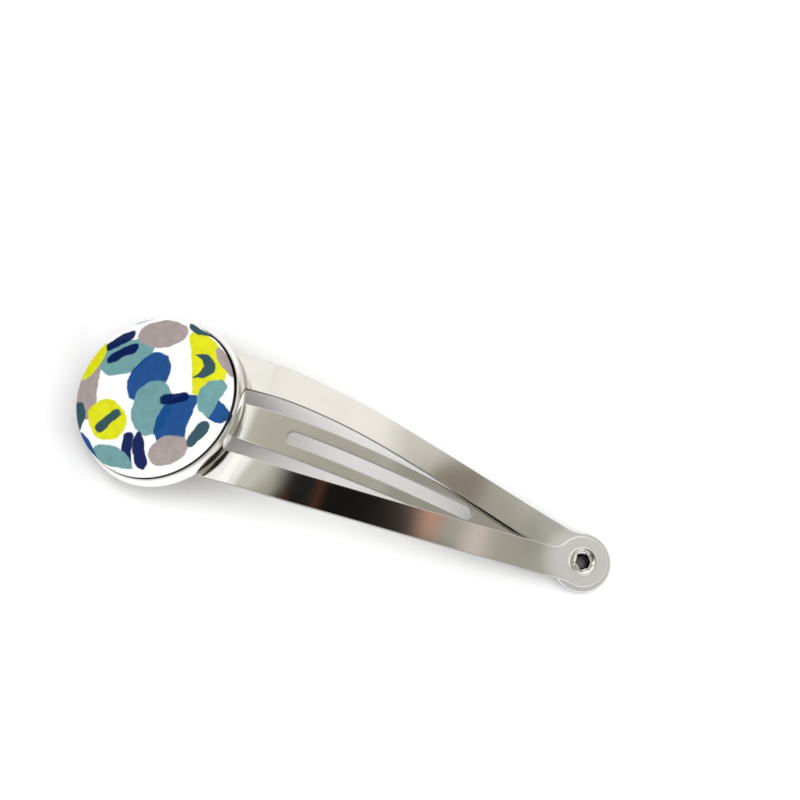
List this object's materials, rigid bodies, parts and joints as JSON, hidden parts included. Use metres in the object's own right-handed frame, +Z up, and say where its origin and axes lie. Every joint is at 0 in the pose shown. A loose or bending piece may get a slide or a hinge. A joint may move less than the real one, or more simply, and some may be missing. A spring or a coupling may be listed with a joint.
{
  "type": "snap hair clip",
  "caption": "Sprung metal snap hair clip, closed, with a slotted tongue under two riveted arms and a round fabric-covered button in a metal cup.",
  "frame": {"origin": "under the middle of the closed clip's box, on the surface that it rests on", "axes": "+X runs from the button to the riveted tip, +Z is up, away from the wearer's head"},
  "size_m": [0.0664, 0.0208, 0.0121],
  "materials": {
    "nickel_leaf": "polished nickel plate",
    "nickel_eyelet": "polished nickel plate",
    "nickel_cup": "polished nickel plate",
    "core_plastic": "matte",
    "printed_cotton": "fine plain weave, printed"
  },
  "bodies": {
    "leaf": {"base_leaf": "nickel_leaf", "bezel_cup": "nickel_cup", "button_core": "core_plastic", "fabric_cover": "printed_cotton"},
    "arms": {"arm_left": "nickel_leaf", "arm_right": "nickel_leaf", "rivet": "nickel_eyelet"}
  },
  "joints": [
    {"name": "snap", "type": "hinge", "parent": "leaf", "child": "arms", "pos_m": [-0.01285, 0.0006, 0.00807], "axis": [0, -1, 0], "range_deg": [0, 22]}
  ]
}
